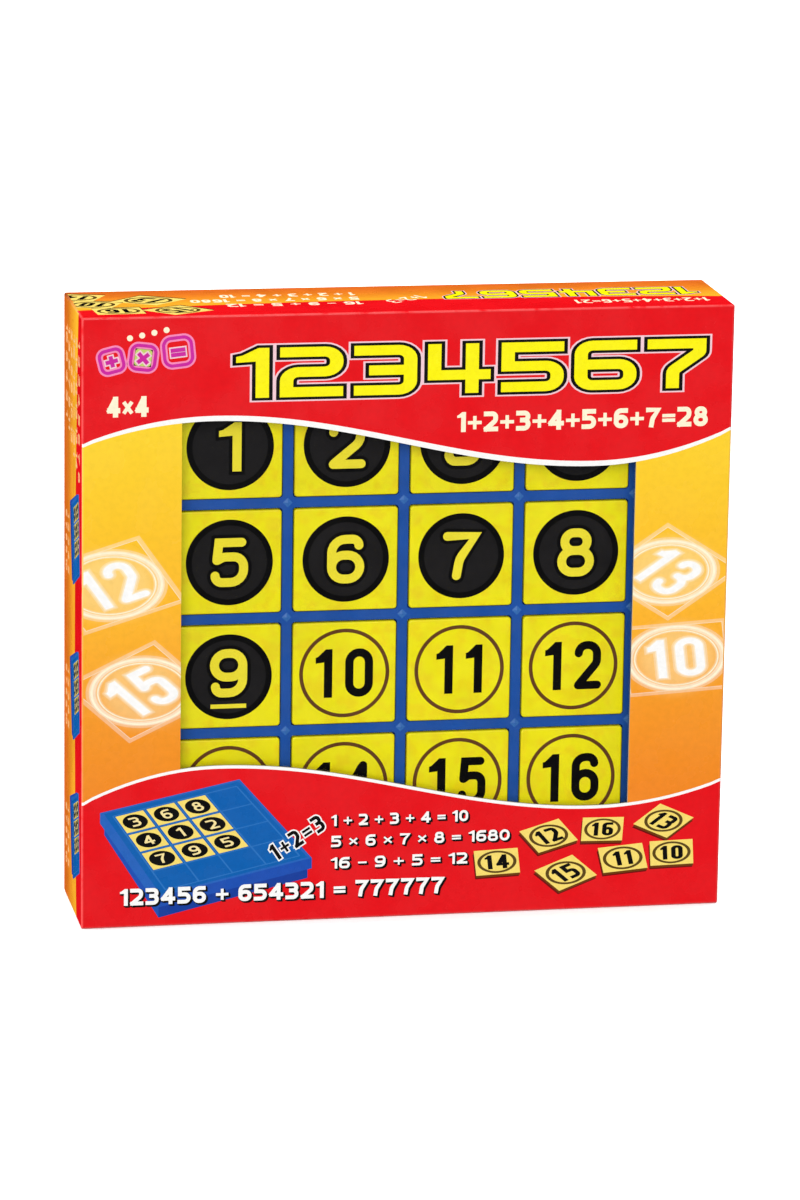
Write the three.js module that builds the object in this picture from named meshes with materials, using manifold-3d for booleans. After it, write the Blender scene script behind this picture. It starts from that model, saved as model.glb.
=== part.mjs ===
// A number tile puzzle in its window gift box.
// The box is a telescoping lid and base of thin board. The lid's front panel has a die-cut window with a
// clear film behind it. The base holds a card collar, and the puzzle stands in the collar's square well.
// The puzzle is a moulded storage box with a booklet in it, closed by a grid board whose sixteen cells each
// hold one number tile.
// Everything is drawn lying on its back, x to the right, y up the front panel and z out of the front panel,
// with z = 0 at the back face. The whole group is then stood upright, so that the front panel faces -Y.
// Millimetres throughout.

import * as THREE from 'three';
import { mergeVertices } from 'three/addons/utils/BufferGeometryUtils.js';
import Module from 'manifold-3d';

const wasm = await Module();
wasm.setup();

// ---- driving dimensions ----

const BOX_WIDTH = 240;
const BOX_HEIGHT = 228;
const BOX_DEPTH = 50;
const BOARD_THICKNESS = 1.2;
const TELESCOPE_GAP = 0.4;
const REST_GAP = 0.3;

// The window follows the two wavy banners printed across the top and bottom of the front panel.
const WINDOW_LEFT = -83.5;
const WINDOW_RIGHT = 84.3;
const TOP_WAVE = {
  crestX: -72,
  crestY: 75.2,
  troughX: 68,
  troughY: 55,
  leftBend: 0.0037,
  rightBend: 0.0045,
};
const BOTTOM_WAVE = {
  crestX: -70,
  crestY: -53.5,
  troughX: 72,
  troughY: -74,
  leftBend: 0.0049,
  rightBend: 0.0038,
};
const WAVE_STEPS = 18;
const FILM_THICKNESS = 0.3;
const FILM_MARGIN = 6;

const COLLAR_TOP = 33;
const WELL_SIZE = 190.6;

const PUZZLE_DROP = 1;
const PUZZLE_WIDTH = 188;
const PUZZLE_CORNER = 4;
const GRID_CELLS = 4;
const CELL_PITCH = 43;
const CELL_SIZE = 39.2;
const CELL_DEPTH = 3;
const CELL_CORNER = 1.2;
const DECK_THICKNESS = 2;
const GRID_BOARD_HEIGHT = 16;
const SKIRT_WALL = 2.2;
const LEDGE_WIDTH = 3.6;
const LEDGE_THICKNESS = 2;

const STORAGE_WIDTH = 181;
const STORAGE_HEIGHT = 23.7;
const STORAGE_WALL = 2;
const STORAGE_CORNER = 3;

const TILE_SIZE = 38.4;
const TILE_THICKNESS = 4;
const TILE_CORNER = 1;
const TILE_BEVEL = 0.5;

const BOOKLET = { width: 150, height: 106, thickness: 2.4, corner: 3 };

// ---- levels above the back face ----

const PUZZLE_BASE = BOARD_THICKNESS + REST_GAP;
const STORAGE_RIM = PUZZLE_BASE + STORAGE_HEIGHT;
const LEDGE_LEVEL = STORAGE_RIM + REST_GAP;
const SKIRT_LEVEL = LEDGE_LEVEL - 2;
const GRID_TOP = SKIRT_LEVEL + GRID_BOARD_HEIGHT;
const CELL_FLOOR = GRID_TOP - CELL_DEPTH;
const PANEL_BACK = BOX_DEPTH - BOARD_THICKNESS;

// ---- colours ----

const PRINTED_RED = 0xed1c24;
const CARD_WHITE = 0xe9e4d8;
const TRAY_BLUE = 0x1f55aa;
const TILE_YELLOW = 0xf7df18;
const BOOKLET_WHITE = 0xf4f2ea;
const FILM_CLEAR = 0xf2f8ff;

function finish(color, roughness, extra = {}) {
  return new THREE.MeshStandardMaterial({ color, roughness, metalness: 0, ...extra });
}

// ---- solids ----

const OVERCUT = 1;

function toSolid(geometry) {
  const bare = geometry.clone();
  bare.deleteAttribute('normal');
  bare.deleteAttribute('uv');
  const merged = mergeVertices(bare, 1e-5);
  const vertProperties = new Float32Array(merged.attributes.position.array);
  const triVerts = new Uint32Array(merged.index.array);
  return new wasm.Manifold(new wasm.Mesh({ numProp: 3, vertProperties, triVerts }));
}

function toGeometry(solid) {
  const { vertProperties, triVerts } = solid.getMesh();
  const geometry = new THREE.BufferGeometry();
  geometry.setAttribute('position', new THREE.BufferAttribute(new Float32Array(vertProperties), 3));
  geometry.setIndex(new THREE.BufferAttribute(new Uint32Array(triVerts), 1));
  geometry.computeVertexNormals();
  return geometry;
}

function roundedOutline(width, height, corner) {
  const x = width / 2 - corner;
  const y = height / 2 - corner;
  const shape = new THREE.Shape();
  shape.absarc(x, y, corner, 0, Math.PI / 2);
  shape.absarc(-x, y, corner, Math.PI / 2, Math.PI);
  shape.absarc(-x, -y, corner, Math.PI, Math.PI * 1.5);
  shape.absarc(x, -y, corner, Math.PI * 1.5, Math.PI * 2);
  return shape;
}

// A straight-sided block from level z0 up to level z1.
function prism(shape, z0, z1, curveSegments = 4) {
  const settings = { depth: z1 - z0, bevelEnabled: false, curveSegments };
  return toSolid(new THREE.ExtrudeGeometry(shape, settings).translate(0, 0, z0));
}

function slab(width, height, z0, z1) {
  return toSolid(new THREE.BoxGeometry(width, height, z1 - z0).translate(0, 0, (z0 + z1) / 2));
}

function namedMesh(name, geometry, material) {
  const mesh = new THREE.Mesh(geometry, material);
  mesh.name = name;
  return mesh;
}

// ---- gift box ----

// Height of a banner's wavy edge at x: a cosine from crest to trough, and a parabola past each of them.
function waveHeight(wave, x) {
  if (x < wave.crestX) return wave.crestY - wave.leftBend * (wave.crestX - x) ** 2;
  if (x > wave.troughX) return wave.troughY + wave.rightBend * (x - wave.troughX) ** 2;
  const middle = (wave.crestY + wave.troughY) / 2;
  const swing = (wave.crestY - wave.troughY) / 2;
  return middle + swing * Math.cos((Math.PI * (x - wave.crestX)) / (wave.troughX - wave.crestX));
}

function windowEdge(wave) {
  const points = [];
  for (let i = 0; i <= WAVE_STEPS; i++) {
    const x = WINDOW_LEFT + ((WINDOW_RIGHT - WINDOW_LEFT) * i) / WAVE_STEPS;
    points.push(new THREE.Vector2(x, waveHeight(wave, x)));
  }
  return points;
}

function windowOutline() {
  return new THREE.Shape([...windowEdge(BOTTOM_WAVE), ...windowEdge(TOP_WAVE).reverse()]);
}

function lidShell() {
  const walls = 2 * BOARD_THICKNESS;
  const outside = slab(BOX_WIDTH, BOX_HEIGHT, 0, BOX_DEPTH);
  const hollow = slab(BOX_WIDTH - walls, BOX_HEIGHT - walls, -OVERCUT, PANEL_BACK);
  const opening = prism(windowOutline(), PANEL_BACK - OVERCUT, BOX_DEPTH + OVERCUT);
  return toGeometry(outside.subtract(hollow).subtract(opening));
}

function windowFilm() {
  const width = WINDOW_RIGHT - WINDOW_LEFT + 2 * FILM_MARGIN;
  const height = TOP_WAVE.crestY - BOTTOM_WAVE.troughY + 2 * FILM_MARGIN;
  const centreX = (WINDOW_LEFT + WINDOW_RIGHT) / 2;
  const centreY = (TOP_WAVE.crestY + BOTTOM_WAVE.troughY) / 2;
  const geometry = new THREE.BoxGeometry(width, height, FILM_THICKNESS);
  return geometry.translate(centreX, centreY, PANEL_BACK - REST_GAP - FILM_THICKNESS / 2);
}

const BASE_WIDTH = BOX_WIDTH - 2 * (BOARD_THICKNESS + TELESCOPE_GAP);
const BASE_HEIGHT = BOX_HEIGHT - 2 * (BOARD_THICKNESS + TELESCOPE_GAP);
const BASE_RIM = PANEL_BACK - TELESCOPE_GAP;

function baseTray() {
  const walls = 2 * BOARD_THICKNESS;
  const outside = slab(BASE_WIDTH, BASE_HEIGHT, 0, BASE_RIM);
  const hollow = slab(BASE_WIDTH - walls, BASE_HEIGHT - walls, BOARD_THICKNESS, BASE_RIM + OVERCUT);
  return toGeometry(outside.subtract(hollow));
}

// A card platform with a square well, held up by four flaps folded down round the well.
function insertCollar() {
  const foot = BOARD_THICKNESS + REST_GAP;
  const inset = 2 * (BOARD_THICKNESS + REST_GAP);
  const flapSize = WELL_SIZE + 2 * BOARD_THICKNESS;
  const platform = slab(BASE_WIDTH - inset, BASE_HEIGHT - inset, COLLAR_TOP - BOARD_THICKNESS, COLLAR_TOP);
  const flaps = slab(flapSize, flapSize, foot, COLLAR_TOP);
  const well = slab(WELL_SIZE, WELL_SIZE, 0, COLLAR_TOP + OVERCUT);
  return toGeometry(platform.add(flaps).subtract(well));
}

// ---- puzzle ----

function squarePrism(size, corner, z0, z1, curveSegments) {
  return prism(roundedOutline(size, size, corner), z0, z1, curveSegments);
}

function storageBox() {
  const inner = STORAGE_WIDTH - 2 * STORAGE_WALL;
  const innerCorner = STORAGE_CORNER - STORAGE_WALL / 2;
  const outside = squarePrism(STORAGE_WIDTH, STORAGE_CORNER, PUZZLE_BASE, STORAGE_RIM);
  const hollow = squarePrism(inner, innerCorner, PUZZLE_BASE + STORAGE_WALL, STORAGE_RIM + OVERCUT);
  return toGeometry(outside.subtract(hollow));
}

function cellCentres() {
  const first = (-(GRID_CELLS - 1) * CELL_PITCH) / 2;
  const centres = [];
  for (let row = 0; row < GRID_CELLS; row++) {
    for (let column = 0; column < GRID_CELLS; column++) {
      centres.push(new THREE.Vector2(first + column * CELL_PITCH, -first - row * CELL_PITCH));
    }
  }
  return centres;
}

// The deck has a cell for each tile on top, a skirt round it, and a ledge inside the skirt that rests on the
// storage box's rim.
function gridBoard() {
  const inner = PUZZLE_WIDTH - 2 * SKIRT_WALL;
  const innerCorner = PUZZLE_CORNER - SKIRT_WALL;
  const deckBack = CELL_FLOOR - DECK_THICKNESS;
  const block = squarePrism(PUZZLE_WIDTH, PUZZLE_CORNER, SKIRT_LEVEL, GRID_TOP);
  const underside = squarePrism(inner, innerCorner, SKIRT_LEVEL - OVERCUT, deckBack);

  const ledgeBlock = squarePrism(inner + SKIRT_WALL, PUZZLE_CORNER, LEDGE_LEVEL, LEDGE_LEVEL + LEDGE_THICKNESS);
  const ledgeHole = squarePrism(inner - 2 * LEDGE_WIDTH, innerCorner, LEDGE_LEVEL - OVERCUT, deckBack);

  let board = block.subtract(underside).add(ledgeBlock.subtract(ledgeHole));
  const cell = squarePrism(CELL_SIZE, CELL_CORNER, CELL_FLOOR, GRID_TOP + OVERCUT, 2);
  for (const centre of cellCentres()) {
    board = board.subtract(cell.translate([centre.x, centre.y, 0]));
  }
  return toGeometry(board);
}

function tileBlock() {
  const flat = TILE_SIZE - 2 * TILE_BEVEL;
  const settings = {
    depth: TILE_THICKNESS - 2 * TILE_BEVEL,
    bevelThickness: TILE_BEVEL,
    bevelSize: TILE_BEVEL,
    bevelSegments: 1,
    curveSegments: 2,
  };
  const outline = roundedOutline(flat, flat, TILE_CORNER);
  return new THREE.ExtrudeGeometry(outline, settings).translate(0, 0, TILE_BEVEL);
}

function booklet() {
  const outline = roundedOutline(BOOKLET.width, BOOKLET.height, BOOKLET.corner);
  const settings = { depth: BOOKLET.thickness, bevelEnabled: false, curveSegments: 3 };
  return new THREE.ExtrudeGeometry(outline, settings);
}

function puzzle() {
  const parts = new THREE.Group();
  parts.position.y = -PUZZLE_DROP;
  parts.add(namedMesh('storage_box', storageBox(), finish(TRAY_BLUE, 0.42)));
  parts.add(namedMesh('grid_board', gridBoard(), finish(TRAY_BLUE, 0.38)));

  const book = namedMesh('puzzle_booklet', booklet(), finish(BOOKLET_WHITE, 0.6));
  book.position.z = PUZZLE_BASE + STORAGE_WALL + REST_GAP;
  parts.add(book);

  cellCentres().forEach((centre, index) => {
    const number = String(index + 1).padStart(2, '0');
    const tile = namedMesh(`tile_${number}`, tileBlock(), finish(TILE_YELLOW, 0.35));
    tile.position.set(centre.x, centre.y, CELL_FLOOR + REST_GAP);
    parts.add(tile);
  });
  return parts;
}

// ---- assembly ----

function giftBox() {
  const parts = new THREE.Group();
  const film = finish(FILM_CLEAR, 0.05, { transparent: true, opacity: 0.25 });
  parts.add(namedMesh('base_tray', baseTray(), finish(CARD_WHITE, 0.75)));
  parts.add(namedMesh('insert_collar', insertCollar(), finish(CARD_WHITE, 0.8)));
  parts.add(namedMesh('lid_shell', lidShell(), finish(PRINTED_RED, 0.35)));
  parts.add(namedMesh('window_film', windowFilm(), film));
  return parts;
}

const lyingDown = new THREE.Group();
lyingDown.position.set(0, BOX_HEIGHT / 2, -BOX_DEPTH / 2);
lyingDown.add(giftBox(), puzzle());

const group = new THREE.Group();
group.rotation.x = Math.PI / 2;
group.add(lyingDown);

export default group;
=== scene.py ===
"""The looks of a boxed number tile puzzle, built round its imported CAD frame.

Everything is in metres in the frame's own axes: the box stands on the floor, +Z up, and its front panel faces
-Y. Flat artwork is drawn in millimetres on the plane of the wall that it is printed on.
"""

import math

import bmesh
import bpy
from mathutils import Matrix, Vector
from mathutils.geometry import delaunay_2d_cdt


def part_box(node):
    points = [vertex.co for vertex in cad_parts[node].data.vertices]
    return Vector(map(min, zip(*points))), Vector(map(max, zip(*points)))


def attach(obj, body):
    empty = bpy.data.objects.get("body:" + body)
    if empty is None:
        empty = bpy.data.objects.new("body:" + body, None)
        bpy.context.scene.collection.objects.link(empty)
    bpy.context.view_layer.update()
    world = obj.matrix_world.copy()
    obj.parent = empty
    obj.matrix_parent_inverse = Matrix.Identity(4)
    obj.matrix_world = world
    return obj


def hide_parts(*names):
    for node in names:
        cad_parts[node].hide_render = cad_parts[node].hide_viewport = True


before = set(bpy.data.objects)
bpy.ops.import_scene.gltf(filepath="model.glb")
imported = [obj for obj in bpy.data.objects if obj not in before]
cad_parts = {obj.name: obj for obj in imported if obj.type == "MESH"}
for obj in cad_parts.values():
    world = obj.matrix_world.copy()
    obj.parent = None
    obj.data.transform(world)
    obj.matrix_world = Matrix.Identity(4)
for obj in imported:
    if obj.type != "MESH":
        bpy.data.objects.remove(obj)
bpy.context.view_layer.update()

MM = 0.001

# ----- Sizes in mm, from the frame where it has them -----

LID_LOW, LID_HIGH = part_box("lid_shell")
CENTRE = (LID_LOW + LID_HIGH) / 2
WIDTH, DEPTH, HEIGHT = (LID_HIGH - LID_LOW) / MM
HALF_W, HALF_D, HALF_H = WIDTH / 2, DEPTH / 2, HEIGHT / 2
BOARD = 1.2           # thickness of the box board
PRINT_ROOM = 0.15     # the printed art stays inside the CAD box by this much
FOLD = 0.7            # radius of the lid's folded edges
LAYER = 0.013         # how far one layer of ink stands over the one below

TILES = 16
SINGLE_DIGITS = 9
GRID = 4


# ----- Camera, light and floor -----

CAMERA = dict(azimuth=10.81, elevation=13.86, roll=0.87, distance=8.47, across=-0.0078, up=-0.0025)
FOCAL_PER_FRAME_HEIGHT = 5500 / 1200
SENSOR = 24.0


def link(name, data):
    """Puts an object with this data into the scene."""
    made = bpy.data.objects.new(name, data)
    bpy.context.scene.collection.objects.link(made)
    return made


def make_camera():
    """The camera stands left of the box and above it, a long way off. Distances are in box widths."""
    spin = Matrix.Rotation(math.radians(CAMERA["azimuth"]), 3, "Z")
    tilt = Matrix.Rotation(math.radians(CAMERA["elevation"]), 3, "X")
    roll = Matrix.Rotation(math.radians(CAMERA["roll"]), 3, "Y")
    turn = roll @ tilt @ spin
    offset = Vector((CAMERA["across"], CAMERA["distance"], CAMERA["up"])) * WIDTH * MM
    right, ahead, above = (turn.transposed() @ Vector(axis) for axis in ((1, 0, 0), (0, 1, 0), (0, 0, 1)))
    data = bpy.data.cameras.new("camera")
    data.sensor_fit = "VERTICAL"
    data.sensor_height = SENSOR
    data.lens = FOCAL_PER_FRAME_HEIGHT * SENSOR
    data.clip_start = 0.01
    data.clip_end = 50
    place = Matrix((right, above, -ahead)).transposed().to_4x4()
    place.translation = CENTRE - turn.transposed() @ offset
    camera = link("camera", data)
    camera.matrix_world = place
    bpy.context.scene.camera = camera


LIGHTS = (
    # name, the direction it comes from, strength, angle across in degrees, whether glossy surfaces mirror it
    ("front", (-0.30, -1.6, 0.42), 2.15, 40, True),
    ("top", (0.05, 0.12, 1.0), 1.9, 30, False),
    ("left", (-1.0, 0.06, 0.25), 3.2, 30, False),
    ("back_right", (1.0, 0.9, 0.5), 2.0, 40, False),
)
ROOM_BRIGHTNESS = 0.39
FLOOR_GLOW = 0.3
FLOOR_SIZE = 24


def make_light():
    """An even white room, left out of reflections, and a broad light for each side that is seen."""
    world = bpy.data.worlds.new("studio")
    world.use_nodes = True
    world.node_tree.nodes["Background"].inputs["Color"].default_value = (1, 1, 1, 1)
    world.node_tree.nodes["Background"].inputs["Strength"].default_value = ROOM_BRIGHTNESS
    world.cycles_visibility.glossy = False
    bpy.context.scene.world = world
    bpy.context.scene.view_settings.view_transform = "Standard"
    for name, direction, strength, angle, mirrored in LIGHTS:
        data = bpy.data.lights.new(name, "SUN")
        data.energy = strength
        data.angle = math.radians(angle)
        light = link(name, data)
        light.location = CENTRE + Vector(direction)
        light.rotation_euler = Vector(direction).to_track_quat("Z", "Y").to_euler()
        light.visible_glossy = mirrored


def make_floor():
    """A white floor that neither tints the box nor shows in its gloss."""
    recipe = Recipe("studio_floor", roughness=0.8, specular=0.0)
    recipe.shader.inputs["Emission Color"].default_value = (1, 1, 1, 1)
    recipe.shader.inputs["Emission Strength"].default_value = FLOOR_GLOW
    recipe.bump(recipe.noise(4, 2.0), 0.05, 0.1)
    bpy.ops.mesh.primitive_plane_add(size=FLOOR_SIZE, location=(0, 0, 0))
    floor = bpy.context.object
    floor.name = "studio_floor"
    floor.data.materials.append(recipe.finish(recipe.vary(linear(252, 252, 252), 400, 0.004)))
    floor.visible_glossy = False
    floor.visible_diffuse = False


# ----- Materials -----

def linear(red, green, blue):
    """A display colour, 0 to 255, as the linear colour that a shader takes."""
    def one(value):
        value /= 255
        return value / 12.92 if value <= 0.04045 else ((value + 0.055) / 1.055) ** 2.4
    return (one(red), one(green), one(blue), 1)


class Recipe:
    """A material under construction: adds nodes, links them and hands back sockets."""

    def __init__(self, name, roughness=0.4, specular=0.3, coat=0.0, coat_roughness=0.1):
        self.material = bpy.data.materials.new(name)
        self.material.use_nodes = True
        self.tree = self.material.node_tree
        self.shader = self.tree.nodes["Principled BSDF"]
        self.shader.inputs["Roughness"].default_value = roughness
        self.shader.inputs["Specular IOR Level"].default_value = specular
        self.shader.inputs["Coat Weight"].default_value = coat
        self.shader.inputs["Coat Roughness"].default_value = coat_roughness
        self.here = self.node("ShaderNodeTexCoord", {}).outputs["Object"]

    def feed(self, socket, value):
        if isinstance(value, bpy.types.NodeSocket):
            self.tree.links.new(value, socket)
        else:
            socket.default_value = value

    def node(self, kind, inputs, **settings):
        """Adds a node. inputs holds values or sockets, in order or by each input's name or number."""
        made = self.tree.nodes.new(kind)
        for name, value in settings.items():
            setattr(made, name, value)
        for key, value in inputs.items() if isinstance(inputs, dict) else enumerate(inputs):
            self.feed(made.inputs[key], value)
        return made

    def math(self, operation, *values):
        return self.node("ShaderNodeMath", values, operation=operation).outputs[0]

    def parts(self):
        """The x, y and z of the place that is shaded."""
        return self.node("ShaderNodeSeparateXYZ", [self.here]).outputs

    def ramp(self, value, low, high, start=0.0, end=1.0, kind="SMOOTHSTEP"):
        """Goes from start to end as value goes from low to high, and stays there."""
        inputs = (value, low, high, start, end)
        return self.node("ShaderNodeMapRange", inputs, interpolation_type=kind).outputs[0]

    def colours(self, value, stops):
        """A colour ramp through (place, colour) stops."""
        made = self.node("ShaderNodeValToRGB", [value])
        elements = made.color_ramp.elements
        while len(elements) < len(stops):
            elements.new(0.5)
        for element, (place, colour) in zip(elements, stops):
            element.position = place
            element.color = linear(*colour)
        return made.outputs[0]

    def mix(self, factor, first, second):
        return self.node("ShaderNodeMix", {0: factor, 6: first, 7: second}, data_type="RGBA").outputs[2]

    def noise(self, size_mm, detail=2.0, stretch=None):
        """Noise with grains of about size_mm."""
        source = self.here
        if stretch:
            source = self.node("ShaderNodeVectorMath", (source, stretch), operation="MULTIPLY").outputs[0]
        inputs = {"Vector": source, "Scale": 1 / (size_mm * MM), "Detail": detail}
        return self.node("ShaderNodeTexNoise", inputs).outputs["Fac"]

    def uneven(self, height, depth_mm, strength):
        inputs = {"Strength": strength, "Distance": depth_mm * MM, "Height": height}
        return self.node("ShaderNodeBump", inputs).outputs[0]

    def bump(self, height, depth_mm, strength):
        self.feed(self.shader.inputs["Normal"], self.uneven(height, depth_mm, strength))

    def roughen(self, size_mm, low, high):
        self.feed(self.shader.inputs["Roughness"], self.ramp(self.noise(size_mm, 4.0), 0.3, 0.7, low, high))

    def vary(self, colour, size_mm, amount):
        """The colour, a little lighter and darker in patches."""
        level = self.ramp(self.noise(size_mm, 3.0), 0.3, 0.7, 1 - amount, 1 + amount, "LINEAR")
        inputs = {0: colour[:3] if isinstance(colour, tuple) else colour, "Scale": level}
        return self.node("ShaderNodeVectorMath", inputs, operation="SCALE").outputs[0]

    def finish(self, colour):
        self.feed(self.shader.inputs["Base Color"], colour)
        return self.material


# Mask of the pale fold line: part worn ink at the folds, part painted highlight where the folds catch the
# light.
def edge_wear(recipe, reach_mm):
    """1 along the lid's folded edges and 0 away from them: the distances to the three nearest outer faces,
    less the largest of them, are small only near an edge. Fine noise breaks the line up."""
    x, y, z = recipe.parts()
    gaps = []
    for axis, middle, half in ((x, CENTRE.x, HALF_W), (z, CENTRE.z, HALF_H)):
        off = recipe.math("ABSOLUTE", recipe.math("SUBTRACT", axis, middle))
        gaps.append(recipe.math("SUBTRACT", half * MM, off))
    gaps.append(recipe.math("SUBTRACT", y, LID_LOW.y))
    total = recipe.math("ADD", recipe.math("ADD", gaps[0], gaps[1]), gaps[2])
    largest = recipe.math("MAXIMUM", recipe.math("MAXIMUM", gaps[0], gaps[1]), gaps[2])
    near = recipe.ramp(recipe.math("SUBTRACT", total, largest), 0.25 * MM, reach_mm * MM, 1.0, 0.0)
    return recipe.math("MULTIPLY", near, recipe.ramp(recipe.noise(5.0, 5.0), 0.26, 0.5))


PRINT_SPECULAR = 0.3
PRINT_COAT = 0.1
PRINT_COAT_ROUGHNESS = 0.12
PRINT_ROUGHNESS = (0.22, 0.32)
# Reach in mm and strength of the pale fold line, which is part wear and part painted highlight.
FOLD_WEAR_HIGHLIGHT_REACH = 1.3
FOLD_WEAR_HIGHLIGHT_SHARE = 0.3


def printed(name, colour, wear_and_highlight_folds=True):
    """Gloss laminated print on board: faint mottle in the ink, pale folds that are part worn ink and part
    painted highlight, a barely uneven face.
    """
    recipe = Recipe(name, specular=PRINT_SPECULAR, coat=PRINT_COAT, coat_roughness=PRINT_COAT_ROUGHNESS)
    tone = recipe.vary(colour(recipe) if callable(colour) else colour, 2.5, 0.035)
    if wear_and_highlight_folds:
        # Pale fold line: worn ink and a painted highlight along the folds.
        wear_and_highlight = recipe.math("MULTIPLY", edge_wear(recipe, FOLD_WEAR_HIGHLIGHT_REACH), FOLD_WEAR_HIGHLIGHT_SHARE)
        tone = recipe.mix(wear_and_highlight, tone, linear(214, 176, 172))
    recipe.roughen(14, *PRINT_ROUGHNESS)
    rough = recipe.math("ADD", recipe.noise(0.35), recipe.math("MULTIPLY", recipe.noise(28, 1.0), 12.0))
    recipe.bump(rough, 0.004, 0.5)
    return recipe.finish(tone)


def ink(name, colour):
    """Ink on the laminated print, with the same gloss."""
    recipe = Recipe(name, specular=PRINT_SPECULAR, coat=PRINT_COAT, coat_roughness=PRINT_COAT_ROUGHNESS)
    recipe.roughen(9, *PRINT_ROUGHNESS)
    recipe.bump(recipe.noise(0.35), 0.004, 0.5)
    return recipe.finish(recipe.vary(colour, 1.6, 0.04))


GLOWS = (
    # centre x, centre z from the middle of the panel, and half width and half height of the pale glow, mm
    (-109.0, 15.4, 21.0, 15.0),
    (-97.7, -24.6, 20.0, 16.0),
    (97.3, 14.4, 20.0, 15.0),
    (101.4, -18.4, 19.5, 15.5),
)
# Colours from the bottom of the box to its top, and on the side walls from its front to its back.
FIELD_COLOURS = ((0.20, (243, 136, 32)), (0.34, (247, 152, 38)), (0.50, (254, 182, 44)),
                 (0.68, (254, 202, 42)), (0.84, (255, 216, 48)))
SIDE_COLOURS = ((0.20, (255, 196, 48)), (0.52, (253, 168, 40)),
                (0.78, (243, 130, 34)), (1.00, (236, 110, 34)))


def plain_field(recipe):
    """Yellow at the top of the box to orange at the bottom."""
    return recipe.colours(recipe.ramp(recipe.parts()[2], LID_LOW.z, LID_HIGH.z, kind="LINEAR"), FIELD_COLOURS)


def side_field(recipe):
    """Yellow next to the red strip to orange at the back of the side walls."""
    return recipe.colours(recipe.ramp(recipe.parts()[1], LID_LOW.y, LID_HIGH.y, kind="LINEAR"), SIDE_COLOURS)


def front_field(recipe):
    """The front panel's field, with a pale glow behind each ghost tile."""
    x, _, z = recipe.parts()
    glow = 0.0
    for cx, cz, half_wide, half_high in GLOWS:
        dx = recipe.math("DIVIDE", recipe.math("SUBTRACT", x, cx * MM), half_wide * MM)
        dz = recipe.math("DIVIDE", recipe.math("SUBTRACT", z, CENTRE.z + cz * MM), half_high * MM)
        squares = [recipe.math("MULTIPLY", d, d) for d in (dx, dz)]
        away = recipe.math("SQRT", recipe.math("ADD", *squares))
        glow = recipe.math("MAXIMUM", glow, recipe.ramp(away, 0.5, 1.08, 0.4, 0.0))
    return recipe.mix(glow, plain_field(recipe), linear(255, 234, 168))


def whitened(share):
    """The front panel's field with a share of white over it."""
    return lambda recipe: recipe.mix(share, front_field(recipe), linear(255, 250, 232))


def moulded(name, colour, grain_mm, roughness, mottle=0.05, specular=0.3, second=None):
    """Moulded plastic: faint flow marks in the colour, fine grain and small scuffs in the gloss. A second
    colour clouds the first."""
    recipe = Recipe(name, specular=specular)
    colour = linear(*colour)
    if second:
        colour = recipe.mix(recipe.ramp(recipe.noise(4.5, 4.0), 0.42, 0.7), colour, linear(*second))
    recipe.roughen(6, roughness - 0.06, roughness + 0.09)
    recipe.bump(recipe.noise(grain_mm, 3.0), 0.01, 0.35)
    return recipe.finish(recipe.vary(recipe.vary(colour, 11, mottle), 0.9, mottle * 0.5))


def card(name, colour, mottle=0.05):
    """Uncoated board: fibres in two directions and a soft uneven face."""
    recipe = Recipe(name, roughness=0.85, specular=0.15)
    fibres = recipe.noise(1.1, 5.0, (1.0, 0.6, 0.4))
    flecks = recipe.ramp(fibres, 0.58, 0.72, 0.0, 0.12)
    recipe.bump(fibres, 0.05, 0.5)
    return recipe.finish(recipe.mix(flecks, recipe.vary(linear(*colour), 7, mottle), linear(176, 164, 146)))


FILM_HEAD_ON = 0.025   # share of light that the film reflects head on
FILM_AT_SLANT = 0.6    # and how much more of it at a grazing slant


def clear_film():
    """Thin clear film: you look straight through it, with a soft reflection that grows at a slant."""
    recipe = Recipe("clear_film")
    recipe.tree.nodes.remove(recipe.shader)
    waves = recipe.uneven(recipe.noise(38, 1.0), 0.15, 0.25)
    gloss = recipe.node("ShaderNodeBsdfGlossy", {"Color": (1, 1, 1, 1), "Roughness": 0.08, "Normal": waves})
    through = recipe.node("ShaderNodeBsdfTransparent", {"Color": (0.985, 0.99, 0.995, 1)})
    slant = recipe.node("ShaderNodeLayerWeight", {}).outputs["Facing"]
    growth = recipe.math("MULTIPLY", recipe.math("POWER", slant, 4.0), FILM_AT_SLANT)
    share = recipe.math("ADD", growth, FILM_HEAD_ON)
    both = recipe.node("ShaderNodeMixShader", (share, through.outputs[0], gloss.outputs[0]))
    recipe.feed(recipe.tree.nodes["Material Output"].inputs["Surface"], both.outputs[0])
    return recipe.material


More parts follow.
